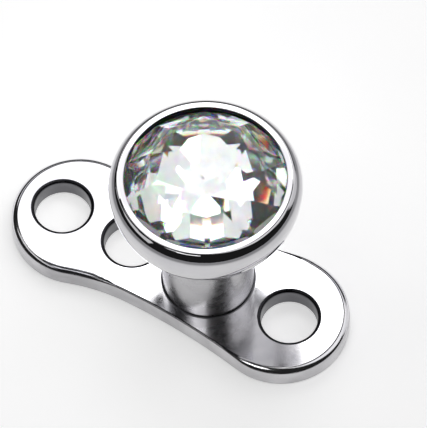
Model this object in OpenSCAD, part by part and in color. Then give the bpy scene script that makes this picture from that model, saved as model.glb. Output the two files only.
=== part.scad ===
/* [Plate] */
// Distance from the riser's axis to the centre of the rounded toe end
toe_x = 3.18; // [2.9:0.01:3.6]
// Radius of the toe end
toe_r = 1.45; // [1.35:0.01:1.7]
// Distance from the riser's axis to the centre of the rounded heel end
heel_x = 1.76; // [1.6:0.01:2.2]
// Radius of the heel end
heel_r = 1.46; // [1.35:0.01:1.7]
// Distance from the riser's axis to the narrowest place of the plate, toward the toe
waist_x = 1.36; // [0.9:0.01:1.6]
// Width of the plate at its narrowest place
waist_w = 2.31; // [2.2:0.01:2.5]
// Thickness of the plate
plate_t = 0.5; // [0.4:0.01:0.8]
// Radius of the rounding along the plate's upper edge
top_round = 0.16; // [0.05:0.01:0.18]
// Radius of the rounding along the plate's lower edge
bottom_round = 0.06; // [0.03:0.01:0.12]

/* [Plate holes] */
// Diameter of each of the three holes
hole_d = 1.2; // [0.9:0.01:1.3]
// Radius of the rounding on both rims of a hole
hole_round = 0.08; // [0.03:0.01:0.12]
// Distance from the riser's axis to the outer hole at the toe
toe_hole_x = 3.58; // [3.4:0.01:3.7]
// Distance from the riser's axis to the inner hole at the toe
mid_hole_x = 1.86; // [1.8:0.01:2]
// Distance from the riser's axis to the hole in the heel
heel_hole_x = 1.96; // [1.85:0.01:2.2]

/* [Riser] */
// Diameter of the upright barrel
riser_d = 1.94; // [1.8:0.01:2.2]
// Height of the barrel above the plate
riser_h = 2.4; // [1.9:0.01:3.5]
// Diameter of the post that goes down the barrel
post_d = 1.2; // [1:0.01:1.3]
// Length of the post below the cup
post_l = 1.8; // [1:0.01:1.85]
// Gap all round the post in its bore
post_gap = 0.03; // [0.01:0.01:0.06]
// Space left in the bore below the post's tip
post_space = 0.2; // [0.05:0.05:0.3]
// Chamfer at the barrel's mouth, on the barrel's upper edge and on the post's tip
end_chamfer = 0.06; // [0.03:0.01:0.1]

/* [Cup] */
// Largest diameter of the cup
cup_d = 4; // [3.6:0.01:4.4]
// Height of the cup from the barrel to its rim
cup_h = 1.78; // [1.7:0.01:2.2]
// Height of the cup's widest place
widest_h = 1.43; // [1.3:0.01:1.5]
// How far the flat rim's outer edge lies in from the cup's widest place
rim_in = 0.18; // [0.12:0.01:0.24]
// Width of the flat rim
rim_w = 0.145; // [0.1:0.005:0.2]
// Height of the upright wall inside the rim
lip_t = 0.1; // [0.05:0.01:0.14]

/* [Crystal] */
// How far the crystal's girdle reaches under the lip, all round
lip_hold = 0.06; // [0.04:0.01:0.08]
// Height of the girdle band where it is lowest
girdle_t = 0.08; // [0.05:0.01:0.12]
// Number of facets in each ring, and of sides of the table
facets = 10; // [8:1:12]
// Turn of the crystal in its cup, from the X axis to the first corner, in degrees
crystal_turn = 13; // [0:1:36]
// Diameter of the table over its corners
table_d = 1.12; // [0.9:0.01:1.3]
// Height of the table above the rim
table_h = 0.82; // [0.7:0.01:1]
// Diameter of the ring of corners between the two rows of crown facets
shoulder_d = 2.36; // [2.1:0.01:2.5]
// Height of that ring above the rim
shoulder_h = 0.39; // [0.3:0.01:0.5]
// Diameter of the ring of corners between the two rows of back facets
back_d = 2.64; // [2.4:0.01:2.8]
// Depth of that ring below the girdle band
back_depth = 0.17; // [0.1:0.01:0.25]
// Depth of the crystal's tip below the girdle band
tip_depth = 0.33; // [0.28:0.01:0.6]
// Gap all round the crystal in its seat
seat_gap = 0.02; // [0.01:0.01:0.04]

/* [Hidden] */
$fn = 96;
// Steps along each end arc, along each waist arc, and up the two edge roundings
END_STEPS = 20;
WAIST_STEPS = 6;
TOP_STEPS = 5;
BOTTOM_STEPS = 3;
// How far a cutting shape reaches past the face that it cuts
CUT = 0.5;

hole_r = hole_d / 2;
riser_r = riser_d / 2;
post_r = post_d / 2;
bore_r = post_r + post_gap;
bore_depth = post_l + post_space;
// The barrel starts inside the plate, and the cup sits on its top
riser_z = plate_t / 2;
seat_z = plate_t + riser_h;

cup_r = cup_d / 2;
rim_r = cup_r - rim_in;
lip_r = rim_r - rim_w;
girdle_r = lip_r + lip_hold;
// Arc of the bowl: level at the widest place, and down to the barrel's edge
bowl_in = cup_r - riser_r;
bowl_r = (bowl_in * bowl_in + widest_h * widest_h) / (2 * bowl_in);
// Arc of the shoulder: level at the widest place, and up to the rim's outer edge
rim_up = cup_h - widest_h;
shoulder_r = (rim_in * rim_in + rim_up * rim_up) / (2 * rim_in);
// Heights of the crystal, measured up from the barrel. A facet is nearest the axis at the
// middle of its edge, which is shape_in times as far out as its corners
shape_in = cos(180 / facets);
ridge_top = cup_h - lip_t - lip_hold - seat_gap;
crown_slope = (cup_h + shoulder_h - ridge_top) / ((girdle_r - shoulder_d / 2) * shape_in);
girdle_top = ridge_top - girdle_r * (1 - shape_in) * crown_slope;
girdle_low = girdle_top - girdle_t;
back_slope = back_depth / (girdle_r - back_d / 2 * shape_in);
ridge_low = girdle_low - girdle_r * (1 - shape_in) * back_slope;
back_z = girdle_low - back_depth;
tip_z = girdle_low - tip_depth;
// Seat for the crystal
pocket_r = girdle_r + seat_gap;
pocket_top = cup_h - lip_t - lip_hold - seat_gap;
pocket_low = ridge_low - seat_gap;
floor_r = back_d / 4;

// Points of an arc about (x, y), without its last one
function arc(x, y, r, from, to, steps) =
    [for (k = [0 : steps - 1]) let (a = from + (to - from) * k / steps)
        [x + r * cos(a), y + r * sin(a)]];

// Radius of the hollow arc that runs from the waist into an end without a corner
function hollow_r(end_x, end_r) = let (run = end_x + waist_x, half = waist_w / 2)
    (run * run + half * half - end_r * end_r) / (2 * (end_r - half));

// One side of the plate's outline, drawn in by an inset, from the toe's tip to the heel's
function side(inset) =
    let (
        half = waist_w / 2,
        toe_hollow = hollow_r(-toe_x, toe_r),
        heel_hollow = hollow_r(heel_x, heel_r),
        toe_a = atan2(half + toe_hollow, toe_x - waist_x),
        heel_a = atan2(half + heel_hollow, -waist_x - heel_x)
    )
    concat(
        arc(-toe_x, 0, toe_r - inset, 180, toe_a, END_STEPS),
        arc(-waist_x, half + toe_hollow, toe_hollow + inset, toe_a + 180, 270, WAIST_STEPS),
        arc(-waist_x, half + heel_hollow, heel_hollow + inset, 270, heel_a + 180, WAIST_STEPS),
        arc(heel_x, 0, heel_r - inset, heel_a, 0, END_STEPS),
        [[heel_x + heel_r - inset, 0]]
    );

// The whole outline at a height, with the second side as a mirror image of the first
function ring(inset, z) =
    let (s = side(inset), last = len(s) - 1)
    [
        for (p = s) [p[0], p[1], z],
        for (k = [last - 1 : -1 : 1]) [s[k][0], -s[k][1], z]
    ];

// Inset and height of each outline, from the underside up over both edge roundings
levels = [
    for (k = [0 : BOTTOM_STEPS]) let (a = 90 * k / BOTTOM_STEPS)
        [bottom_round * (1 - sin(a)), bottom_round * (1 - cos(a))],
    for (k = [0 : TOP_STEPS]) let (a = 90 * k / TOP_STEPS)
        [top_round * (1 - cos(a)), plate_t - top_round * (1 - sin(a))]
];

// Solid slab through all the outlines. Its two flat faces are strips across the plate
module slab() {
    rings = [for (l = levels) ring(l[0], l[1])];
    n = len(rings[0]);
    tip = n / 2;
    top = n * (len(rings) - 1);
    strip = [
        [0, 1, n - 1],
        for (k = [1 : tip - 2]) [k, k + 1, n - k - 1, n - k],
        [tip - 1, tip, tip + 1]
    ];
    polyhedron(
        points = [for (r = rings) each r],
        faces = [
            for (f = strip) [for (i = [len(f) - 1 : -1 : 0]) f[i]],
            for (f = strip) [for (i = f) top + i],
            for (j = [0 : len(rings) - 2]) for (k = [0 : n - 1])
                let (a = j * n + k, b = j * n + (k + 1) % n)
                [a, b, b + n, a + n]
        ]
    );
}

// Shape that cuts a hole and rounds both its rims
module hole_cutter() {
    flare = hole_r + hole_round;
    translate([0, 0, -CUT]) cylinder(r = hole_r, h = plate_t + 2 * CUT);
    translate([0, 0, plate_t - hole_round]) rim_cutter(flare);
    translate([0, 0, hole_round]) mirror([0, 0, 1]) rim_cutter(flare);
}

// Flared end of that shape, widening upward
module rim_cutter(flare) {
    rotate_extrude() difference() {
        square([flare, hole_round + CUT]);
        translate([flare, 0]) circle(r = hole_round);
    }
}

// Plate and barrel in one piece, with the post's bore down the barrel
module anchor_base() {
    color("silver") difference() {
        union() {
            slab();
            translate([0, 0, riser_z]) cylinder(r = riser_r, h = seat_z - riser_z - end_chamfer);
            translate([0, 0, seat_z - end_chamfer])
                cylinder(r1 = riser_r, r2 = riser_r - end_chamfer, h = end_chamfer);
        }
        for (x = [-toe_hole_x, -mid_hole_x, heel_hole_x]) translate([x, 0, 0]) hole_cutter();
        translate([0, 0, seat_z - bore_depth]) cylinder(r = bore_r, h = bore_depth + CUT);
        translate([0, 0, seat_z - end_chamfer])
            cylinder(r1 = bore_r, r2 = bore_r + end_chamfer + CUT, h = end_chamfer + CUT);
    }
}

// Half section of the cup without its pocket: a bowl below the widest place, a shoulder above
module cup_section() {
    intersection() {
        translate([cup_r - bowl_r, widest_h]) circle(r = bowl_r);
        square([cup_r, widest_h]);
    }
    intersection() {
        translate([cup_r - shoulder_r, widest_h]) circle(r = shoulder_r);
        translate([0, widest_h]) square([cup_r, rim_up]);
    }
    square([riser_r, widest_h]);
    translate([0, widest_h]) square([cup_r - shoulder_r, rim_up]);
}

// Half section of the pocket: a cone for the back, an upright wall, and the lip turned in over it
module pocket_section() {
    polygon([
        [0, tip_z - seat_gap],
        [floor_r, tip_z - seat_gap],
        [back_d / 2 + seat_gap, back_z - seat_gap],
        [pocket_r, pocket_low],
        [pocket_r, pocket_top],
        [lip_r, cup_h - lip_t],
        [lip_r, cup_h + CUT],
        [0, cup_h + CUT]
    ]);
}

// Cup with its post, one piece
module setting() {
    color("gainsboro") translate([0, 0, seat_z]) {
        rotate_extrude() difference() {
            cup_section();
            pocket_section();
        }
        translate([0, 0, -post_l + end_chamfer]) cylinder(r = post_r, h = post_l);
        translate([0, 0, -post_l]) cylinder(r1 = post_r - end_chamfer, r2 = post_r, h = end_chamfer);
    }
}

// Corners of one ring of the crystal
function corners(r, z) =
    [for (k = [0 : facets - 1]) let (a = crystal_turn + k * 360 / facets) [r * cos(a), r * sin(a), z]];

// Cut crystal: flat facets in rings, ground from a round blank
module crystal() {
    // The outer facets are planes, so both rows are carried on past the girdle until they meet
    past = girdle_t / (crown_slope + back_slope);
    rings = [
        corners(table_d / 2, cup_h + table_h),
        corners(shoulder_d / 2, cup_h + shoulder_h),
        corners((girdle_r + past) / shape_in, girdle_top - past * crown_slope),
        corners(back_d / 2, back_z)
    ];
    n = facets;
    tip = n * len(rings);
    color("aliceblue") translate([0, 0, seat_z]) intersection() {
        translate([0, 0, tip_z - CUT]) cylinder(r = girdle_r, h = cup_h + table_h - tip_z + 2 * CUT);
        polyhedron(
            points = concat([for (r = rings) each r], [[0, 0, tip_z]]),
            faces = [
                [for (k = [n - 1 : -1 : 0]) k],
                for (j = [0 : len(rings) - 2]) for (k = [0 : n - 1])
                    let (a = j * n + k, b = j * n + (k + 1) % n)
                    [a, b, b + n, a + n],
                for (k = [0 : n - 1]) [tip - n + k, tip - n + (k + 1) % n, tip]
            ]
        );
    }
}

anchor_base();
setting();
crystal();
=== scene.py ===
# %% [markdown]
# # A surface anchor with a gem top
# This small piece of body jewellery is made of surgical steel and one cut crystal. A foot
# plate with three round holes carries an upright barrel, and a bowl-shaped cup with the
# crystal in it screws down into the barrel. The lesson rebuilds the three pieces by hand
# around the measured solids, and then lights them as mirror-bright jewellery is lit.

import math

import bmesh
import bpy
from mathutils import Matrix, Vector


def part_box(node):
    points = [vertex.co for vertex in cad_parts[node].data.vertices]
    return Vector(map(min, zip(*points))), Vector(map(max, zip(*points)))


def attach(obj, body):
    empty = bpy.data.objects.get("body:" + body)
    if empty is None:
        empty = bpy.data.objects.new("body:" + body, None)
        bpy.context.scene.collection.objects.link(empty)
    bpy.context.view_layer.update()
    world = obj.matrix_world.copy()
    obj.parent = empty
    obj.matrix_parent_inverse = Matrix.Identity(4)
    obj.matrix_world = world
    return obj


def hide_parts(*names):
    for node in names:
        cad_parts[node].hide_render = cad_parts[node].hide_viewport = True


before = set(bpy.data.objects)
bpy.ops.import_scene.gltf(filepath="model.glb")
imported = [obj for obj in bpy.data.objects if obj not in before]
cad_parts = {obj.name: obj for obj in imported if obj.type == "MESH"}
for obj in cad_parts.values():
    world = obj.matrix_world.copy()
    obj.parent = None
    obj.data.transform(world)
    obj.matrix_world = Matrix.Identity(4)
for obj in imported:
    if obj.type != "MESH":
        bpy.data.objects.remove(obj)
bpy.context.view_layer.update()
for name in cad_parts:
    low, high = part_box(name)
    print(name, [round(v * 1000, 3) for v in (*low, *high)])

# %% [markdown]
# ## The camera
# Mirror-bright steel shows nothing but its surroundings, so the camera comes first: every
# reflection depends on where it stands. It could be placed by eye, but its place was worked
# out from the outline and the holes. It looks down steeply from the near side through a very
# long lens, with a slight roll, and is moved sideways a little to frame the piece.

# %% Camera
MM = 0.001
IMAGE_LONG_SIDE = 428
SENSOR_WIDTH = 36
LOOK_HEIGHT = 2.0
ELEVATION = math.radians(60)
TURN = math.radians(30.884)
ROLL = math.radians(-1.617)
DISTANCE = 110.0
PIXELS_PER_MM = 47.746
FRAME_RIGHT, FRAME_UP = 0.129, 0.590
NEAREST, FARTHEST = 0.01, 10

flat_right = Vector((math.cos(TURN), math.sin(TURN), 0))
away = Vector((-math.sin(TURN), math.cos(TURN), 0))
upright = Vector((0, 0, 1))
to_camera = -away * math.cos(ELEVATION) + upright * math.sin(ELEVATION)
steep_up = away * math.sin(ELEVATION) + upright * math.cos(ELEVATION)
cam_right = flat_right * math.cos(ROLL) + steep_up * math.sin(ROLL)
cam_up = steep_up * math.cos(ROLL) - flat_right * math.sin(ROLL)

stand = upright * LOOK_HEIGHT + to_camera * DISTANCE + cam_right * FRAME_RIGHT + cam_up * FRAME_UP
bpy.ops.object.camera_add(location=stand * MM)
camera = bpy.context.object
camera.name = "camera"
camera.rotation_euler = Matrix((cam_right, cam_up, to_camera)).transposed().to_euler()
camera.data.sensor_width = SENSOR_WIDTH
camera.data.lens = PIXELS_PER_MM * DISTANCE * SENSOR_WIDTH / IMAGE_LONG_SIDE
camera.data.clip_start = NEAREST
camera.data.clip_end = FARTHEST
bpy.context.scene.camera = camera
print("lens", round(camera.data.lens, 1), "mm")

# %% [markdown]
# ## Working by hand
# Blender's tools act on whatever is selected, so each step first lets go of everything and
# then picks edges or faces by where they lie. The pieces are modelled at a thousand times
# their size, one unit to a millimetre, because some tools give up on lengths this small.
# The last step brings a piece back to its real size and applies that to the mesh.
#
# An outline of arcs starts as a plane that is merged to one point. Spin then carries the
# point round a centre, as the leg of a pair of compasses goes, and leaves a trail of edges.

# %% One point, and arcs from it
def let_go():
    """Leaves edit mode and selects nothing."""
    if bpy.context.object and bpy.context.object.mode != "OBJECT":
        bpy.ops.object.mode_set(mode="OBJECT")
    bpy.ops.object.select_all(action="DESELECT")


def first_point(name, place):
    """A new object in edit mode that is one point."""
    let_go()
    bpy.ops.mesh.primitive_plane_add(size=1)
    bpy.context.object.name = name
    bpy.ops.object.mode_set(mode="EDIT")
    bpy.ops.mesh.select_mode(type="VERT")
    bpy.ops.mesh.select_all(action="SELECT")
    bpy.ops.mesh.merge(type="CENTER")
    bpy.ops.transform.translate(value=place)
    return bpy.context.object


def swing(centre, axis, degrees, steps):
    """Carries what is selected round a centre, and leaves a trail of edges or faces."""
    bpy.ops.mesh.spin(steps=steps, angle=-math.radians(degrees), center=centre, axis=axis, dupli=False)


let_go()
print("selected now:", len(bpy.context.selected_objects))

# %% [markdown]
# ## The foot plate and its barrel
# On the real anchor a thin plate is stamped and tumbled until its edges are round, three
# holes are drilled through it, and the barrel is welded on and polished with it as one.
# The outline could be traced point by point, but a chain of arcs that meet without a corner
# is what the stamp has, and it changes with its sizes. Half of it is drawn by swinging one
# point round four centres, and a mirror makes the other half.

# %% Sizes of the plate, in millimetres
TOE_X, TOE_R = 3.18, 1.45
HEEL_X, HEEL_R = 1.76, 1.46
WAIST_X, WAIST_HALF = 1.36, 1.155
PLATE_T = 0.5
HOLE_R = 0.6
HOLES_X = (-3.58, -1.86, 1.96)
UP = (0, 0, 1)


def hollow_radius(end_x, end_r):
    """Radius of the hollow arc from the waist to an end that it meets without a corner."""
    run = end_x + WAIST_X
    return (run**2 + WAIST_HALF**2 - end_r**2) / (2 * (end_r - WAIST_HALF))


toe_hollow = hollow_radius(-TOE_X, TOE_R)
heel_hollow = hollow_radius(HEEL_X, HEEL_R)
print("the waist's hollows have radii of", round(toe_hollow, 2), "and", round(heel_hollow, 2))

# %% Draw half of it, and mirror it
END_STEPS, HOLLOW_STEPS = 40, 14
MIDLINE_MERGE = 0.001

toe_turn = math.degrees(math.atan2(WAIST_HALF + toe_hollow, TOE_X - WAIST_X))
heel_turn = math.degrees(math.atan2(WAIST_HALF + heel_hollow, -WAIST_X - HEEL_X))

plate = first_point("foot_plate_and_barrel", (-TOE_X - TOE_R, 0, PLATE_T))
swing((-TOE_X, 0, 0), UP, toe_turn - 180, END_STEPS)
swing((-WAIST_X, WAIST_HALF + toe_hollow, 0), UP, 90 - toe_turn, HOLLOW_STEPS)
swing((-WAIST_X, WAIST_HALF + heel_hollow, 0), UP, heel_turn - 90, HOLLOW_STEPS)
swing((HEEL_X, 0, 0), UP, -heel_turn, END_STEPS)
bpy.ops.object.mode_set(mode="OBJECT")
other_half = plate.modifiers.new("other_half", "MIRROR")
other_half.use_axis = (False, True, False)
other_half.merge_threshold = MIDLINE_MERGE
bpy.ops.object.modifier_apply(modifier=other_half.name)
heel_end = max(v.co.x for v in plate.data.vertices)
print("outline", len(plate.data.vertices), "points; heel ends at", round(heel_end, 3))

# %% [markdown]
# The holes and the foot of the barrel are circles in the same flat drawing. A boolean could
# cut the holes, but it leaves slivers that spoil a mirror finish. Filling between all the
# loops gives the top face with its openings in place, and one extrusion gives the plate its
# thickness, so no shape has to be cut out of another.

# %% Picking faces and edges by their place
SLACK = 0.004


def pick(kind, test):
    """In edit mode, selects the edges or faces that pass the test."""
    bpy.ops.mesh.select_mode(type=kind)
    bpy.ops.mesh.select_all(action="DESELECT")
    mesh = bmesh.from_edit_mesh(bpy.context.edit_object.data)
    found = 0
    for item in {"EDGE": mesh.edges, "FACE": mesh.faces}[kind]:
        if test(item):
            item.select_set(True)
            found += 1
    mesh.select_flush_mode()
    bmesh.update_edit_mesh(bpy.context.edit_object.data)
    return found


def pick_edges(test):
    """Selects the edges that have both ends where the test says."""
    return pick("EDGE", lambda edge: all(test(v.co) for v in edge.verts))


def grow(value):
    """Extrudes what is selected by a step."""
    bpy.ops.mesh.extrude_region_move(TRANSFORM_OT_translate={"value": value})


def near(a, b):
    """True where two lengths are the same but for rounding errors."""
    return abs(a - b) < SLACK


def off_axis(point, x=0.0):
    """Distance from the barrel's axis, or from an upright axis at another x."""
    return math.hypot(point.x - x, point.y)


def on_circle(x, radius, z):
    """A test for the points of a level circle."""
    return lambda p: near(p.z, z) and near(off_axis(p, x), radius)


toe_end = Vector((-TOE_X - TOE_R, 0))
print("the toe ends", round(off_axis(toe_end), 2), "mm from the barrel's axis")

# %% Fill the drawing and give it thickness
BARREL_R = 0.97
HOLE_POINTS, BARREL_POINTS = 72, 96

bpy.ops.object.mode_set(mode="EDIT")
for x in HOLES_X:
    bpy.ops.mesh.primitive_circle_add(vertices=HOLE_POINTS, radius=HOLE_R, location=(x, 0, PLATE_T))
bpy.ops.mesh.primitive_circle_add(vertices=BARREL_POINTS, radius=BARREL_R, location=(0, 0, PLATE_T))
bpy.ops.mesh.select_all(action="SELECT")
bpy.ops.mesh.fill(use_beauty=True)
bpy.ops.mesh.select_all(action="SELECT")
bpy.ops.mesh.dissolve_limited(angle_limit=math.radians(1))
bpy.ops.mesh.select_all(action="SELECT")
grow((0, 0, -PLATE_T))

# the barrel's circle must not go through the plate, so its wall is taken out and closed below
pick("FACE", lambda f: abs(f.normal.z) < 0.5 and all(near(off_axis(v.co), BARREL_R) for v in f.verts))
bpy.ops.mesh.delete(type="FACE")
pick_edges(on_circle(0, BARREL_R, 0))
bpy.ops.mesh.edge_face_add()
print("plate", len(bmesh.from_edit_mesh(plate.data).faces), "faces")

# %% Pull the barrel up and sink its bore
BARREL_TOP = 2.9
BORE_R, BORE_LOW = 0.63, 0.9

pick_edges(on_circle(0, BARREL_R, PLATE_T))
grow((0, 0, BARREL_TOP - PLATE_T))
grow((0, 0, 0))
mouth = BORE_R / BARREL_R
bpy.ops.transform.resize(value=(mouth, mouth, 1), center_override=(0, 0, 0))
grow((0, 0, BORE_LOW - BARREL_TOP))
bpy.ops.mesh.edge_face_add()
print("barrel reaches", round(max(v.co.z for v in bmesh.from_edit_mesh(plate.data).verts), 2))

# %% [markdown]
# Tumbling rounds every edge that the stone media can reach: most along the top of the plate,
# less below and round the holes. These roundings matter more than anything else on the
# plate, because they are what draws the dark lines along its edges. The top edge is round
# and wide at the toe and heel and almost sharp along the waist, which one bevel of even
# width can't give. A bevel modifier that reads a weight from each edge can: the weight is
# the share of the full width.

# %% Round the top edge by weight
TOP_ROUND, TOP_STEPS = 0.16, 10
WAIST_FROM, WAIST_TO, WAIST_RUN_IN = -2.2, 1.9, 0.5
WAIST_LOSS = 0.65


def rounding(x):
    """Share of the full rounding: all of it round the toe and heel, a third along the waist."""
    into_waist = min(x - WAIST_FROM, WAIST_TO - x) / WAIST_RUN_IN
    return 1 - WAIST_LOSS * min(max(into_waist, 0), 1)


def rim_of_hole(point):
    """True on the edge of a hole, above or below."""
    return any(near(off_axis(point, x), HOLE_R) for x in HOLES_X)


def on_outline(point):
    """True on the plate's own edge, and not on that of a hole or the barrel."""
    return not rim_of_hole(point) and off_axis(point) > BARREL_R + SLACK


pick_edges(lambda p: near(p.z, PLATE_T) and on_outline(p))
drawn = bmesh.from_edit_mesh(plate.data)
share = drawn.edges.layers.float.new("bevel_weight_edge")
top_edges = [edge for edge in drawn.edges if edge.select]
for edge in top_edges:
    edge[share] = rounding((edge.verts[0].co.x + edge.verts[1].co.x) / 2)
print("weighted", len(top_edges), "edges")
bmesh.update_edit_mesh(plate.data)
bpy.ops.object.mode_set(mode="OBJECT")
top_edge = plate.modifiers.new("top_edge", "BEVEL")
top_edge.limit_method = "WEIGHT"
top_edge.offset_type = "OFFSET"
top_edge.width = TOP_ROUND
top_edge.segments = TOP_STEPS
top_edge.use_clamp_overlap = False
bpy.ops.object.modifier_apply(modifier=top_edge.name)
bpy.ops.object.mode_set(mode="EDIT")

# %% Soften the other edges
LOW_ROUND, HOLE_ROUND, FOOT_FILLET, CHAMFER = 0.06, 0.08, 0.04, 0.06


def soften(test, width, steps):
    """Bevels the edges that have both ends where the test says."""
    count = pick_edges(test)
    bpy.ops.mesh.bevel(offset=width, offset_type="OFFSET", segments=steps, affect="EDGES")
    print("rounded", count, "edges by", round(width, 4))


soften(lambda p: near(p.z, 0) and on_outline(p), LOW_ROUND, 5)
soften(lambda p: near(p.z, PLATE_T) and rim_of_hole(p), HOLE_ROUND, 8)
soften(lambda p: near(p.z, 0) and rim_of_hole(p), HOLE_ROUND, 8)
soften(on_circle(0, BARREL_R, PLATE_T), FOOT_FILLET, 4)
soften(on_circle(0, BARREL_R, BARREL_TOP), CHAMFER, 3)
soften(on_circle(0, BORE_R, BARREL_TOP), CHAMFER, 3)

# %% [markdown]
# A piece is finished in the same few steps each time. Doubled points are merged and the
# faces turned outwards, curved faces are shaded smooth, and weighted normals keep the flat
# ones flat beside their roundings. Then the piece is brought to its real size, and a count
# of the edges that don't have two faces shows whether it is closed.

# %% Finish the plate
MERGE = 0.0005


def edge_uses(mesh):
    """How many faces each edge has."""
    uses = [0] * len(mesh.edges)
    for face in mesh.polygons:
        for loop in face.loop_indices:
            uses[mesh.loops[loop].edge_index] += 1
    return uses


def finish_piece(piece, smooth_below):
    """Merges doubles, turns the normals out, shades the curves and applies the real size."""
    bpy.ops.object.mode_set(mode="EDIT")
    bpy.ops.mesh.select_all(action="SELECT")
    bpy.ops.mesh.remove_doubles(threshold=MERGE)
    bpy.ops.mesh.normals_make_consistent(inside=False)
    let_go()
    piece.select_set(True)
    bpy.context.view_layer.objects.active = piece
    bpy.ops.object.shade_smooth_by_angle(angle=math.radians(smooth_below))
    even = piece.modifiers.new("even_normals", "WEIGHTED_NORMAL")
    even.keep_sharp = True
    bpy.ops.object.modifier_apply(modifier=even.name)
    piece.scale = (MM, MM, MM)
    bpy.ops.object.transform_apply(location=True, rotation=True, scale=True)
    open_edges = sum(1 for n in edge_uses(piece.data) if n != 2)
    print(piece.name, len(piece.data.polygons), "faces,", open_edges, "open edges")


finish_piece(plate, smooth_below=30)

# %% [markdown]
# ## The cup and its post
# The cup is turned on a lathe and so is this one: half of its section is drawn as a thin
# line, out along the post, up the bowl, over the shoulder and the flat rim, and down into
# the pocket. Swinging the line once round the axis makes the solid. A Screw modifier would
# give the same shape and stay live, but the rim's edges are beveled next, by hand.

# %% Sizes of the cup, in millimetres
POST_R, POST_TIP = 0.6, 1.1
CUP_R, WIDEST_Z, RIM_Z = 2.0, 4.33, 4.68
RIM_R, LIP_R, LIP_LOW = 1.82, 1.675, 4.58
POCKET_R, POCKET_TOP, POCKET_LOW = 1.755, 4.50, 4.278
SEAT_R, SEAT_Z = 1.34, 4.138
FLOOR_R, FLOOR_Z = 0.66, 3.978
BOWL_R = ((CUP_R - BARREL_R) ** 2 + (WIDEST_Z - BARREL_TOP) ** 2) / (2 * (CUP_R - BARREL_R))
SHOULDER_R = ((CUP_R - RIM_R) ** 2 + (RIM_Z - WIDEST_Z) ** 2) / (2 * (CUP_R - RIM_R))
print("the bowl's arc has a radius of", round(BOWL_R, 2), "and the shoulder's", round(SHOULDER_R, 2))

# %% Draw the cup's section
NEAR_SIDE = (0, -1, 0)
BOWL_STEPS, SHOULDER_STEPS = 40, 16


def line_to(x, z):
    """Draws on from the selected point to a place in the section."""
    here = next(v.co for v in bmesh.from_edit_mesh(bpy.context.edit_object.data).verts if v.select)
    grow((x - here.x, 0, z - here.z))


bowl_turn = math.degrees(math.atan2(WIDEST_Z - BARREL_TOP, BARREL_R - (CUP_R - BOWL_R)))
shoulder_turn = math.degrees(math.atan2(RIM_Z - WIDEST_Z, RIM_R - (CUP_R - SHOULDER_R)))
cup = first_point("cup_and_post", (0, 0, POST_TIP))
line_to(POST_R - CHAMFER, POST_TIP)
line_to(POST_R, POST_TIP + CHAMFER)
line_to(POST_R, BARREL_TOP)
line_to(BARREL_R, BARREL_TOP)
swing((CUP_R - BOWL_R, 0, WIDEST_Z), NEAR_SIDE, bowl_turn, BOWL_STEPS)
swing((CUP_R - SHOULDER_R, 0, WIDEST_Z), NEAR_SIDE, shoulder_turn, SHOULDER_STEPS)
line_to(LIP_R, RIM_Z)
line_to(LIP_R, LIP_LOW)
line_to(POCKET_R, POCKET_TOP)
line_to(POCKET_R, POCKET_LOW)
line_to(SEAT_R, SEAT_Z)
line_to(FLOOR_R, FLOOR_Z)
line_to(0, FLOOR_Z)
print("section", len(bmesh.from_edit_mesh(cup.data).verts), "points")

# %% Turn the cup
TURN_STEPS = 160
RIM_EDGE = 0.035

bpy.ops.mesh.select_all(action="SELECT")
swing((0, 0, 0), UP, 360, TURN_STEPS)
bpy.ops.mesh.select_all(action="SELECT")
bpy.ops.mesh.remove_doubles(threshold=MERGE)
soften(on_circle(0, RIM_R, RIM_Z), RIM_EDGE, 5)
soften(on_circle(0, LIP_R, RIM_Z), RIM_EDGE * 0.7, 4)
soften(on_circle(0, LIP_R, LIP_LOW), RIM_EDGE * 0.5, 3)
finish_piece(cup, smooth_below=30)

# %% [markdown]
# ## The crystal
# A cutter grinds a crystal from a round blank, one flat at a time, and checks that rings of
# flats meet in sharp corners. The corners could be worked out and joined by hand, but
# bisecting does what the cutter does: each plane takes off what lies outside it and leaves
# one flat facet. The crown gets a ten-sided table and two rings of ten facets, the back two
# rings, and a fine ring of twenty runs along the girdle. The back is shallow, a wide cone
# that sends light from above straight back out through the table.

# %% Sizes of the crystal, in millimetres
GIRDLE_R = 1.735
STONE_TOP, STONE_TIP = 5.5, 3.998
TABLE_R, SHOULDER_RING, BACK_RING = 0.56, 1.18, 1.32
SHOULDER_Z, RIDGE_Z, GIRDLE_LOW, BACK_Z = 5.07, 4.50, 4.328, 4.158
SIDES = 10
FIRST_CORNER = 13.0
HALF_SIDE = 180 / SIDES
EDGE_IN = math.cos(math.pi / SIDES)
print("a side's middle lies", round((1 - EDGE_IN) * 100, 1), "percent nearer the axis than its corners")

# %% Grind the crown
BLANK_SIDES = 160


def grind(count, turn, r_high, z_high, r_low, z_low):
    """Cuts a ring of facets, each through two points of its slope, given as radius and height."""
    for k in range(count):
        a = math.radians(FIRST_CORNER + turn + k * 360 / count)
        out = Vector((math.cos(a), math.sin(a), 0))
        normal = out * (z_high - z_low) + upright * (r_low - r_high)
        bpy.ops.mesh.select_all(action="SELECT")
        bpy.ops.mesh.bisect(
            plane_co=out * r_high + upright * z_high, plane_no=normal.normalized(),
            use_fill=True, clear_outer=True,
        )


let_go()
bpy.ops.mesh.primitive_cylinder_add(
    vertices=BLANK_SIDES, radius=GIRDLE_R, depth=STONE_TOP - STONE_TIP,
    location=(0, 0, (STONE_TOP + STONE_TIP) / 2),
)
stone = bpy.context.object
stone.name = "cut_crystal"
bpy.ops.object.transform_apply(location=True, rotation=True, scale=True)
bpy.ops.object.mode_set(mode="EDIT")
grind(SIDES, HALF_SIDE, TABLE_R * EDGE_IN, STONE_TOP, SHOULDER_RING * EDGE_IN, SHOULDER_Z)
grind(SIDES, HALF_SIDE, SHOULDER_RING * EDGE_IN, SHOULDER_Z, GIRDLE_R * EDGE_IN, RIDGE_Z)
print("crown cut,", len(bmesh.from_edit_mesh(stone.data).faces), "faces")

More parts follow.
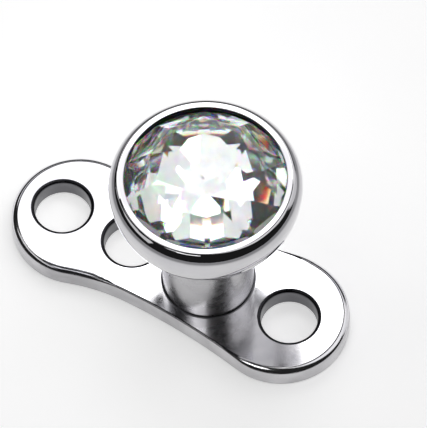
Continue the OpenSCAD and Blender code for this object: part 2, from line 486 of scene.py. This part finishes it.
# %% Cut the girdle's fine facets and the back
FINE = 2 * SIDES
FINE_IN = GIRDLE_R * math.cos(math.pi / FINE)
FINE_LOW, FINE_RISE, FINE_LEAN = 4.42, 0.173, 0.1

grind(FINE, HALF_SIDE / 2, FINE_IN - FINE_LEAN, FINE_LOW + FINE_RISE, FINE_IN, FINE_LOW)
grind(SIDES, HALF_SIDE, GIRDLE_R, GIRDLE_LOW, BACK_RING * EDGE_IN, BACK_Z)
grind(SIDES, HALF_SIDE, BACK_RING * EDGE_IN, BACK_Z, 0, STONE_TIP)
finish_piece(stone, smooth_below=4)

# %% [markdown]
# ## Steel finishes
# Polished steel is almost a pure mirror, so its finish is in small things: a colour that is a
# little uneven, a roughness that changes where fingers and cloth have been, and hairlines so
# shallow that they only show in the highlights. A picture of scratches could give them, but
# it repeats and blurs up close. Noise doesn't, and it is read from the piece's own
# coordinates, scaled to millimetres, so the marks stay on the steel from every side.
#
# One recipe serves all the steel. The plate's top and the cup are polished, its upright edge
# and the barrel are satin, and the upright edge also has a darker tone, which is painted shade.
# The bores are rough as drilled and painted dark, and so are the barrel's foot and a line along
# the floor, as painted shade. A near-black line painted along the holes and the waist stands in
# for a dark reflection, and the pocket behind the crystal is painted black as shade.

# %% Nodes that every finish needs
NOISE_LOW, NOISE_HIGH = 0.35, 0.65


def new_finish(name):
    """An empty material, its node tree and its output."""
    finish = bpy.data.materials.new(name)
    finish.use_nodes = True
    tree = finish.node_tree
    tree.nodes.clear()
    out = tree.nodes.new("ShaderNodeOutputMaterial")
    return finish, tree, out


def in_mm(tree, stretch=(1, 1, 1)):
    """Object coordinates in millimetres, stretched along an axis where wanted."""
    own = tree.nodes.new("ShaderNodeTexCoord")
    scale = tree.nodes.new("ShaderNodeMapping")
    scale.inputs["Scale"].default_value = [s / MM for s in stretch]
    tree.links.new(own.outputs["Object"], scale.inputs["Vector"])
    return scale.outputs["Vector"]


def cloud(tree, where, size, detail=2.0):
    """A noise whose blobs are about that many millimetres across."""
    noise = tree.nodes.new("ShaderNodeTexNoise")
    noise.inputs["Scale"].default_value = 1 / size
    noise.inputs["Detail"].default_value = detail
    tree.links.new(where, noise.inputs["Vector"])
    return noise.outputs["Fac"]


def between(tree, factor, low, high, start=NOISE_LOW, end=NOISE_HIGH):
    """Goes smoothly from low to high while the factor goes from start to end."""
    part = tree.nodes.new("ShaderNodeMapRange")
    part.interpolation_type = "SMOOTHSTEP"
    part.inputs["From Min"].default_value = start
    part.inputs["From Max"].default_value = end
    part.inputs["To Min"].default_value = low
    part.inputs["To Max"].default_value = high
    tree.links.new(factor, part.inputs["Value"])
    return part.outputs["Result"]


def two_tones(tree, noise, first, second):
    """Blends two colours by a noise."""
    ramp = tree.nodes.new("ShaderNodeValToRGB")
    for stop, position, colour in zip(ramp.color_ramp.elements, (NOISE_LOW, NOISE_HIGH), (first, second)):
        stop.position = position
        stop.color = (*colour, 1)
    tree.links.new(noise, ramp.inputs["Fac"])
    return ramp.outputs["Color"]


print("a noise blends while it goes from", NOISE_LOW, "to", NOISE_HIGH)

# %% One recipe for steel
# how wide a patch of colour, a smear and a hairline are, and how deep a hairline is
PATCH, SMEAR, HAIRLINE, HAIRLINE_DEPTH = 0.9, 0.35, 0.05, 0.002
# the way the hairlines run: they are long along an axis whose number is the smallest
ALONG_PLATE = (0.2, 1, 1)
ROUND_CUP = (1, 1, 4)
ROUND_AXIS = (1, 1, 5)
UP_AND_DOWN = (1, 1, 0.2)


def steel(name, dull, bright, smooth, rough, hairlines, stretch):
    """Bare steel between two tones and two roughnesses, with hairlines drawn out one way."""
    finish, tree, out = new_finish(name)
    metal = tree.nodes.new("ShaderNodeBsdfPrincipled")
    metal.inputs["Metallic"].default_value = 1.0
    where = in_mm(tree)
    tree.links.new(two_tones(tree, cloud(tree, where, PATCH), dull, bright), metal.inputs["Base Color"])
    tree.links.new(between(tree, cloud(tree, where, SMEAR, 4), smooth, rough), metal.inputs["Roughness"])
    lines = cloud(tree, in_mm(tree, stretch), HAIRLINE, 1)
    relief = tree.nodes.new("ShaderNodeBump")
    relief.inputs["Strength"].default_value = hairlines
    relief.inputs["Distance"].default_value = HAIRLINE_DEPTH * MM
    tree.links.new(lines, relief.inputs["Height"])
    tree.links.new(relief.outputs["Normal"], metal.inputs["Normal"])
    tree.links.new(metal.outputs["BSDF"], out.inputs["Surface"])
    print(name, "roughness", smooth, "to", rough)
    return finish


# %% The seven finishes of steel
base_steel = steel(
    "polished_steel_plate", dull=(0.66, 0.66, 0.70), bright=(0.85, 0.845, 0.86),
    smooth=0.09, rough=0.15, hairlines=0.08, stretch=ALONG_PLATE,
)
cup_steel = steel(
    "polished_steel_cup", dull=(0.585, 0.58, 0.60), bright=(0.64, 0.635, 0.65),
    smooth=0.015, rough=0.04, hairlines=0.06, stretch=ROUND_CUP,
)
barrel_steel = steel(
    "satin_steel_barrel", dull=(0.46, 0.455, 0.47), bright=(0.54, 0.535, 0.55),
    smooth=0.24, rough=0.32, hairlines=0.15, stretch=ROUND_AXIS,
)
# the satin roughness is the edge's own finish, while its tone, darker than the top's polish, is painted
# shade
edge_steel_painted_shade = steel(
    "satin_edge_with_painted_shade", dull=(0.44, 0.435, 0.45), bright=(0.60, 0.595, 0.61),
    smooth=0.16, rough=0.26, hairlines=0.15, stretch=UP_AND_DOWN,
)
# rough as drilled, but its very dark tone is painted shade in the holes, the bore, the barrel's foot and
# along the floor
painted_shade_steel = steel(
    "painted_shade_in_hollows", dull=(0.13, 0.13, 0.14), bright=(0.17, 0.17, 0.18),
    smooth=0.28, rough=0.38, hairlines=0.3, stretch=ROUND_AXIS,
)
# near-black steel painted along the holes' and the waist's upper edges: a painted dark reflection line
painted_dark_line_steel = steel(
    "painted_dark_line", dull=(0.02, 0.02, 0.022), bright=(0.04, 0.04, 0.045),
    smooth=0.25, rough=0.4, hairlines=0.3, stretch=ROUND_AXIS,
)
# near-black steel in the cup's pocket behind the crystal: painted shade in the recess
painted_seat_shade_steel = steel(
    "painted_seat_shade", dull=(0.01, 0.01, 0.012), bright=(0.025, 0.025, 0.03),
    smooth=0.3, rough=0.45, hairlines=0.3, stretch=ROUND_AXIS,
)

# %% [markdown]
# ## Crystal and foil
# A clear stone in a closed cup would look grey, so its back is foiled: the facets behind the
# girdle carry a bright mirror coat, and light that enters through the crown comes back out of
# it. Crystal bends blue light more than red, which gives the coloured sparks along the edges.
# One glass shader bends all colours alike. Three more, one to each primary colour and each
# bending a little more than the last, add the sparks, and the share of the first one keeps
# them as few as they are in a calm studio.

# %% Clear crystal
HAZE_PATCH, HAZE = 0.5, 0.012


def crystal_glass(name, bend, spread, colourless):
    """Glass that bends blue most. The colourless part bends all light alike and calms the rest."""
    finish, tree, out = new_finish(name)
    haze = between(tree, cloud(tree, in_mm(tree), HAZE_PATCH, 3), 0.0, HAZE)
    coloured = 1 - colourless
    whole = None
    for colour, index in (
        ((colourless, colourless, colourless, 1), bend),
        ((coloured, 0, 0, 1), bend - spread),
        ((0, coloured, 0, 1), bend),
        ((0, 0, coloured, 1), bend + spread),
    ):
        glass = tree.nodes.new("ShaderNodeBsdfGlass")
        glass.inputs["Color"].default_value = colour
        glass.inputs["IOR"].default_value = index
        tree.links.new(haze, glass.inputs["Roughness"])
        if whole:
            both = tree.nodes.new("ShaderNodeAddShader")
            tree.links.new(whole, both.inputs[0])
            tree.links.new(glass.outputs["BSDF"], both.inputs[1])
            whole = both.outputs[0]
        else:
            whole = glass.outputs["BSDF"]
    tree.links.new(whole, out.inputs["Surface"])
    print(name, "bends by", bend - spread, "to", bend + spread)
    return finish


clear_crystal = crystal_glass("clear_crystal", bend=1.50, spread=0.008, colourless=0.58)

# %% Foil
FOIL_METAL, FOIL_PATCH, FOIL_SMEAR = 0.88, 0.4, 0.2


def back_foil(name):
    """Bright foil under a little lacquer, which is why it isn't all metal."""
    finish, tree, out = new_finish(name)
    metal = tree.nodes.new("ShaderNodeBsdfPrincipled")
    metal.inputs["Metallic"].default_value = FOIL_METAL
    where = in_mm(tree)
    tone = two_tones(tree, cloud(tree, where, FOIL_PATCH), (0.86, 0.86, 0.90), (0.95, 0.95, 0.95))
    tree.links.new(tone, metal.inputs["Base Color"])
    tree.links.new(between(tree, cloud(tree, where, FOIL_SMEAR, 3), 0.02, 0.05), metal.inputs["Roughness"])
    tree.links.new(metal.outputs["BSDF"], out.inputs["Surface"])
    return finish


foil = back_foil("mirror_foil")
print(foil.name, "is", FOIL_METAL, "metal")

# %% [markdown]
# ## Where each finish goes
# The finishes could be painted on as masks, but here each belongs to a form: a bore, a weld,
# an upright edge. Some of them are painted shade: dark in the holes, the bore, at the weld and
# along the floor, a painted dark line along the edges, and black in the cup's pocket. So every
# face is asked where its middle lies and how it is tilted, and the answer picks its place in the
# piece's list of finishes.

# %% The upright edge and the painted shade
MARGIN = 0.01
# the upright edge: how far down the rounding it starts, how steep it is, how far off the barrel
WALL_FROM, UPRIGHT_BELOW, OFF_BARREL = 0.4, 0.95, 0.06
# the wall of a hole: how far out it reaches, and how close under the top
HOLE_WALL, TOP_SKIN = 0.07, 0.002


def from_hole(middle):
    """Distance from the axis of the nearest hole."""
    return min(off_axis(middle, x) for x in HOLES_X)


def is_wall(face):
    """The upright edge all round, from the lower part of its top rounding down."""
    middle = face.center / MM
    outside = from_hole(middle) >= HOLE_R + HOLE_ROUND and off_axis(middle) > BARREL_R + OFF_BARREL
    below = middle.z < PLATE_T - WALL_FROM * TOP_ROUND * rounding(middle.x)
    return outside and below and abs(face.normal.z) < UPRIGHT_BELOW


def is_painted_shade(face):
    """Painted shade: the holes, the bore, the weld at the barrel's foot and the line along the floor."""
    middle = face.center / MM
    in_hole = from_hole(middle) < HOLE_R + HOLE_WALL and middle.z < PLATE_T - TOP_SKIN
    in_bore = off_axis(middle) < BORE_R + MARGIN
    at_foot = off_axis(middle) < BARREL_R + FOOT_FILLET + MARGIN
    weld = at_foot and PLATE_T < middle.z < PLATE_T + FOOT_FILLET + MARGIN
    floor_line = is_wall(face) and middle.z < LOW_ROUND
    return in_hole or in_bore or weld or floor_line


print("upright edge:", sum(is_wall(face) for face in plate.data.polygons), "faces")

# %% The painted dark line and the barrel
# how far out from a hole the line lies and how deep, and where the waist's is and how it tilts
HOLE_LINE_FROM, HOLE_LINE_TO, HOLE_LINE_DEPTH = 0.015, 0.076, 0.06
WAIST_SHARE, WAIST_OUT, WAIST_STEEP, WAIST_FLAT = 0.5, 1.05, 0.89, 0.999


def is_painted_dark_line(face):
    """A painted dark line along each hole's upper edge and the waist's, standing in for a dark reflection.
    """
    middle = face.center / MM
    beside_hole = HOLE_R + HOLE_LINE_FROM < from_hole(middle) < HOLE_R + HOLE_LINE_TO
    at_hole = beside_hole and PLATE_T - HOLE_LINE_DEPTH < middle.z < PLATE_T
    in_waist = rounding(middle.x) < WAIST_SHARE and abs(middle.y) > WAIST_OUT
    at_waist = in_waist and WAIST_STEEP < face.normal.z < WAIST_FLAT
    return at_hole or at_waist


def on_barrel(face):
    """The barrel's wall and its ring-shaped top."""
    middle = face.center / MM
    return BORE_R + MARGIN <= off_axis(middle) < BARREL_R + MARGIN and middle.z > PLATE_T + MARGIN


def plate_place(face):
    """Place of the face's finish in the plate's list: 0 is the polish of all other faces."""
    for place, test in ((4, is_painted_dark_line), (1, is_painted_shade), (2, on_barrel), (3, is_wall)):
        if test(face):
            return place
    return 0


print("painted dark line:", sum(is_painted_dark_line(face) for face in plate.data.polygons), "faces")

# %% Give each piece its finish
TURNED_DOWN = -0.2


def in_seat(face):
    """The inside of the cup, below its rim."""
    middle = face.center / MM
    return off_axis(middle) < POCKET_R + MARGIN and FLOOR_Z - MARGIN < middle.z < RIM_Z - MARGIN


def on_back(face):
    """The facets behind the girdle."""
    return face.normal.z < TURNED_DOWN


for piece, finishes, choose in (
    (plate, (base_steel, painted_shade_steel, barrel_steel, edge_steel_painted_shade, painted_dark_line_steel), plate_place),
    (cup, (cup_steel, painted_seat_shade_steel), in_seat),
    (stone, (clear_crystal, foil), on_back),
):
    for finish in finishes:
        piece.data.materials.append(finish)
    for face in piece.data.polygons:
        face.material_index = int(choose(face))
    for place, finish in enumerate(finishes):
        print(finish.name, "on", sum(face.material_index == place for face in piece.data.polygons), "faces")

# %% [markdown]
# ## Put the pieces on the frame
# Each piece stands in for the measured solid of the same form and moves with the body that
# the solid belongs to.

# %% Ride and replace
for piece, node, slot in (
    (plate, "anchor_base", "base_steel"), (cup, "setting", "cup_steel"), (stone, "crystal", "crystal"),
):
    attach(piece, "root")
    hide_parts(node)
    print(piece.name, "stands for", node)

# %% [markdown]
# ## The floor
# The piece stands on a plain pale floor. The upright edge of the plate and the under side of
# the cup mirror it, so its brightness sets theirs. Lamps alone would leave it dark where the
# piece stands in the light, so it also glows a little. It fades to grey well away from the
# piece, where a low view would otherwise drown in white.

# %% Floor
FLOOR_SIDE = 4
FADE_FROM, FADE_TO = 10, 22
FLOOR_ROUGH, FLOOR_SHINE, FLOOR_GLOW = 0.7, 0.2, 0.58
FLOOR_PATCH = 6
PALE, PALER, FAR_GREY = (0.90, 0.90, 0.90), (0.925, 0.925, 0.92), (0.4, 0.4, 0.41)

let_go()
bpy.ops.mesh.primitive_plane_add(size=FLOOR_SIDE, location=(0, 0, 0))
floor = bpy.context.object
floor.name = "floor"
pale, tree, out = new_finish("pale_floor")
ground = tree.nodes.new("ShaderNodeBsdfPrincipled")
ground.inputs["Roughness"].default_value = FLOOR_ROUGH
ground.inputs["Specular IOR Level"].default_value = FLOOR_SHINE
where = in_mm(tree)
reach = tree.nodes.new("ShaderNodeVectorMath")
reach.operation = "LENGTH"
tree.links.new(where, reach.inputs[0])
near_tone = two_tones(tree, cloud(tree, where, FLOOR_PATCH), PALE, PALER)
fade = tree.nodes.new("ShaderNodeMix")
fade.data_type = "RGBA"
fade.inputs["B"].default_value = (*FAR_GREY, 1)
how_far = between(tree, reach.outputs["Value"], 0, 1, FADE_FROM, FADE_TO)
tree.links.new(how_far, fade.inputs["Factor"])
tree.links.new(near_tone, fade.inputs["A"])
for socket in ("Base Color", "Emission Color"):
    tree.links.new(fade.outputs["Result"], ground.inputs[socket])
ground.inputs["Emission Strength"].default_value = FLOOR_GLOW
tree.links.new(ground.outputs["BSDF"], out.inputs["Surface"])
floor.data.materials.append(pale)
print("floor fades between", FADE_FROM, "and", FADE_TO, "mm")

# %% [markdown]
# ## The studio tent
# Polished steel vanishes when all that it mirrors is white, so jewellery is lit in a tent
# that is dark in the right places. A ring of white and black boards round the piece could do
# it, and a picture of a studio too, but a sky made of sums has no edges to hide and each
# part of it has a name. It is dark on the left and near sides all the way up, and on the far
# and right sides only low down. A few round patches are then laid over it, each for what one
# part of the piece mirrors to the camera.

# %% Sums for the tent
studio = bpy.data.worlds.new("studio_tent")
bpy.context.scene.world = studio
studio.use_nodes = True
tent = studio.node_tree
tent.nodes.clear()
look = tent.nodes.new("ShaderNodeTexCoord").outputs["Generated"]


def math_node(kind, a, b):
    """A sum, difference or product of two numbers or sockets."""
    node = tent.nodes.new("ShaderNodeMath")
    node.operation = kind
    for socket, value in zip(node.inputs, (a, b)):
        if isinstance(value, (int, float)):
            socket.default_value = value
        else:
            tent.links.new(value, socket)
    return node.outputs[0]


def along(direction, vector=look):
    """How far a direction points along another, from -1 to 1."""
    node = tent.nodes.new("ShaderNodeVectorMath")
    node.operation = "DOT_PRODUCT"
    node.inputs[1].default_value = direction
    tent.links.new(vector, node.inputs[0])
    return node.outputs["Value"]


def step_between(value, start, end, low=0.0, high=1.0):
    """A smooth step in the tent, from low at the start to high at the end."""
    return between(tent, value, low, high, start, end)


def mix(factor, a, b):
    """a where the factor is 0, b where it is 1."""
    keep = math_node("MULTIPLY", a, math_node("SUBTRACT", 1.0, factor))
    return math_node("ADD", keep, math_node("MULTIPLY", b, factor))


print(studio.name, "begins with", len(tent.nodes), "node")

# %% Directions in the tent
def toward(azimuth, height):
    """Direction at an azimuth, in degrees to the right of straight away, and a height."""
    a, h = math.radians(azimuth), math.radians(height)
    return (away * math.cos(a) + flat_right * math.sin(a)) * math.cos(h) + upright * math.sin(h)


def spot(azimuth, height, full, edge):
    """1 inside a round patch of the tent, 0 outside it. full and edge are half angles."""
    inside = along(toward(azimuth, height))
    return step_between(inside, math.cos(math.radians(edge)), math.cos(math.radians(full)))


print("the flat top mirrors what lies toward", [round(v, 2) for v in toward(0, math.degrees(ELEVATION))])

# %% Dark below, bright above
BRIGHT, DARK = 1.0, 0.015
# the sine of the height up to which each side is dark; past 1 the whole side is
FAR_DARK, LEFT_DARK, RIGHT_DARK, NEAR_DARK = 0.47, 1.1, 0.46, 1.1
SIDE_BLEND, TOP_BLEND = 0.4, 0.03

level = tent.nodes.new("ShaderNodeVectorMath")
level.operation = "MULTIPLY"
level.inputs[1].default_value = (1, 1, 0)
tent.links.new(look, level.inputs[0])
heading = tent.nodes.new("ShaderNodeVectorMath")
heading.operation = "NORMALIZE"
tent.links.new(level.outputs[0], heading.inputs[0])
nearness = along(-away, heading.outputs[0])
rightness = along(flat_right, heading.outputs[0])

side_dark = step_between(rightness, -SIDE_BLEND, SIDE_BLEND, LEFT_DARK, RIGHT_DARK)
toward_far = step_between(nearness, -1, 0, 1, 0)
toward_near = step_between(nearness, 0, 1, 0, 1)
dark_top = mix(toward_near, mix(toward_far, side_dark, FAR_DARK), NEAR_DARK)
is_dark = step_between(math_node("SUBTRACT", dark_top, along(upright)), -TOP_BLEND, TOP_BLEND)
light = mix(is_dark, BRIGHT, DARK)
for side, top in (("far", FAR_DARK), ("right", RIGHT_DARK)):
    print("dark on the", side, "side up to", round(math.degrees(math.asin(top))), "degrees")

# %% Patches
# azimuth, height, half angle that is full, half angle where it ends, brightness
PATCHES = (
    # what the first bend of the plate's edges mirrors, so that a dark line starts at once
    (0, 60, 26, 30, DARK),
    # what the flat top and the cup's rim mirror
    (0, 60, 10, 13, 1.6),
    # a thin glint along the near edge, and sparks in the crystal
    (-138, 60, 4, 8, 1.4),
    # a dark line down the left of the toe and of the cup
    (-52, 44, 9, 13, DARK),
    # a soft light down the right of the cup and of the heel
    (68, 16, 14, 20, 0.8),
)
for azimuth, height, full, edge, glow in PATCHES:
    light = mix(spot(azimuth, height, full, edge), light, glow)

sky = tent.nodes.new("ShaderNodeBackground")
sky.inputs["Color"].default_value = (0.985, 0.98, 1.0, 1)
sky_out = tent.nodes.new("ShaderNodeOutputWorld")
tent.links.new(light, sky.inputs["Strength"])
tent.links.new(sky.outputs["Background"], sky_out.inputs["Surface"])
print("patches", len(PATCHES))

# %% [markdown]
# ## Lamp cards
# The crystal needs light from the very directions that have to stay dark for the plate's
# edges. Brighter patches would spoil the dark lines. Cards close above the piece don't,
# because the crystal, high up, sees them in other directions than the plate does. They are
# level and shine down, and one more stands on the left and is turned to the cup. The camera
# doesn't see any of them.

# %% The card on the left
def lamp_card(name, middle, turn, width, depth, glow):
    """A flat lamp with its sizes in millimetres. glow is the brightness of its face."""
    let_go()
    bpy.ops.object.light_add(type="AREA", location=middle * MM)
    lamp = bpy.context.object
    lamp.name = name
    lamp.rotation_euler = turn
    lamp.data.shape = "RECTANGLE"
    lamp.data.size = width * MM
    lamp.data.size_y = depth * MM
    lamp.data.energy = glow * math.pi * lamp.data.size * lamp.data.size_y
    lamp.visible_camera = False
    print(name, "at", [round(v, 1) for v in middle])


LEFT_AZIMUTH, LEFT_DISTANCE = -95, 10
LEFT_LOW, LEFT_HIGH, LEFT_WIDTH, LEFT_GLOW = 7.2, 9.8, 12, 0.8
left_middle = toward(LEFT_AZIMUTH, 0) * LEFT_DISTANCE + upright * (LEFT_LOW + LEFT_HIGH) / 2
from_cup = (left_middle - upright * WIDEST_Z).normalized()
to_cup = from_cup.to_track_quat("Z", "Y").to_euler()
lamp_card("left_card", left_middle, to_cup, LEFT_WIDTH, LEFT_HIGH - LEFT_LOW, LEFT_GLOW)

# %% The level cards
CARDS_Z = 11
# name, then where its left, right, near and far sides are as the camera sees them, brightness
LEVEL_CARDS = (
    ("middle_card", -3.9, 2.0, -1.3, 3.0, 1.15),
    ("far_right_card", 2.0, 6.4, 3.6, 8.7, 0.95),
    ("far_left_card", -7.6, -2.1, 2.7, 6.0, 1.6),
    ("far_middle_card", -2.1, 2.0, 4.4, 9.5, 1.8),
    ("near_left_card", -4.5, -1.0, -8.5, -5.0, 2.0),
)
for name, left, right, near_side, far_side, glow in LEVEL_CARDS:
    middle = flat_right * (left + right) / 2 + away * (near_side + far_side) / 2 + upright * CARDS_Z
    lamp_card(name, middle, (0, 0, TURN), right - left, far_side - near_side, glow)

# %% [markdown]
# ## Light paths
# Light crosses the crystal many times before it leaves it, so more bounces are allowed than
# a plain scene needs, and reflections aren't blurred to save time. A film-like view would
# turn the white of the steel grey, so the view is the standard one.

# %% Bounces and view
BOUNCES, MIRROR_BOUNCES = 24, 16

scene = bpy.context.scene
scene.view_settings.view_transform = "Standard"
scene.cycles.max_bounces = BOUNCES
scene.cycles.glossy_bounces = MIRROR_BOUNCES
scene.cycles.transmission_bounces = BOUNCES
scene.cycles.blur_glossy = 0.0
print("bounces", scene.cycles.max_bounces)
